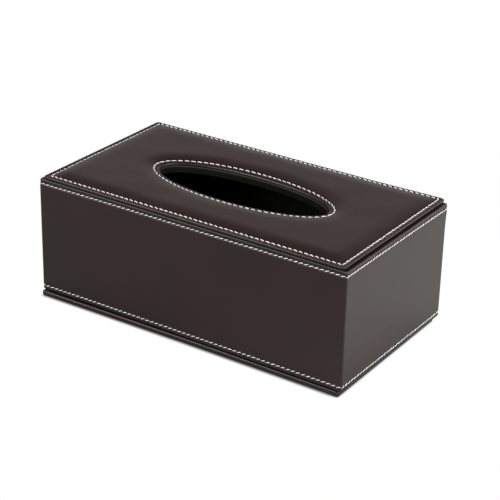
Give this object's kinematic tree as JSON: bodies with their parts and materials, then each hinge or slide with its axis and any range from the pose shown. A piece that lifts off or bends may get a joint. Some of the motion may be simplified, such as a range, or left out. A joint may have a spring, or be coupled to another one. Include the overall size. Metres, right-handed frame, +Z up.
{
  "type": "tissue box cover",
  "caption": "Leather-wrapped board box that slips over a flat tissue box, with a padded stitched top, an oval opening and a base flap hinged along the back.",
  "frame": {"origin": "on the surface that the cover stands on, under the middle of its box", "axes": "+X to the right along the long side, -Y towards the front (the side with the flap's magnets), +Z up"},
  "size_m": [0.2508, 0.1334, 0.095],
  "materials": {
    "leather": "dark brown, fine grain, satin",
    "thread": "off-white waxed sewing thread",
    "board": "raw fibreboard",
    "lining": "black flock",
    "foam": "open-cell foam",
    "magnet": "plated"
  },
  "bodies": {
    "cover": {"front_board": "board", "back_board": "board", "left_board": "board", "right_board": "board", "top_board": "board", "wall_leather": "leather", "front_lining": "lining", "back_lining": "lining", "left_lining": "lining", "right_lining": "lining", "top_lining": "lining", "wall_magnet_left": "magnet", "wall_magnet_right": "magnet", "panel_leather": "leather", "panel_board": "board", "panel_foam": "foam", "wall_lower_stitching": "thread", "wall_upper_stitching": "thread", "panel_border_stitching": "thread", "opening_stitching": "thread"},
    "flap": {"flap_board": "board", "flap_magnet_left": "magnet", "flap_magnet_right": "magnet", "flap_leather": "leather", "flap_lining": "lining"}
  },
  "joints": [
    {"name": "flap_hinge", "type": "hinge", "parent": "cover", "child": "flap", "pos_m": [0, 0.0663, 0.00425], "axis": [1, 0, 0], "range_deg": [0, 180]}
  ]
}
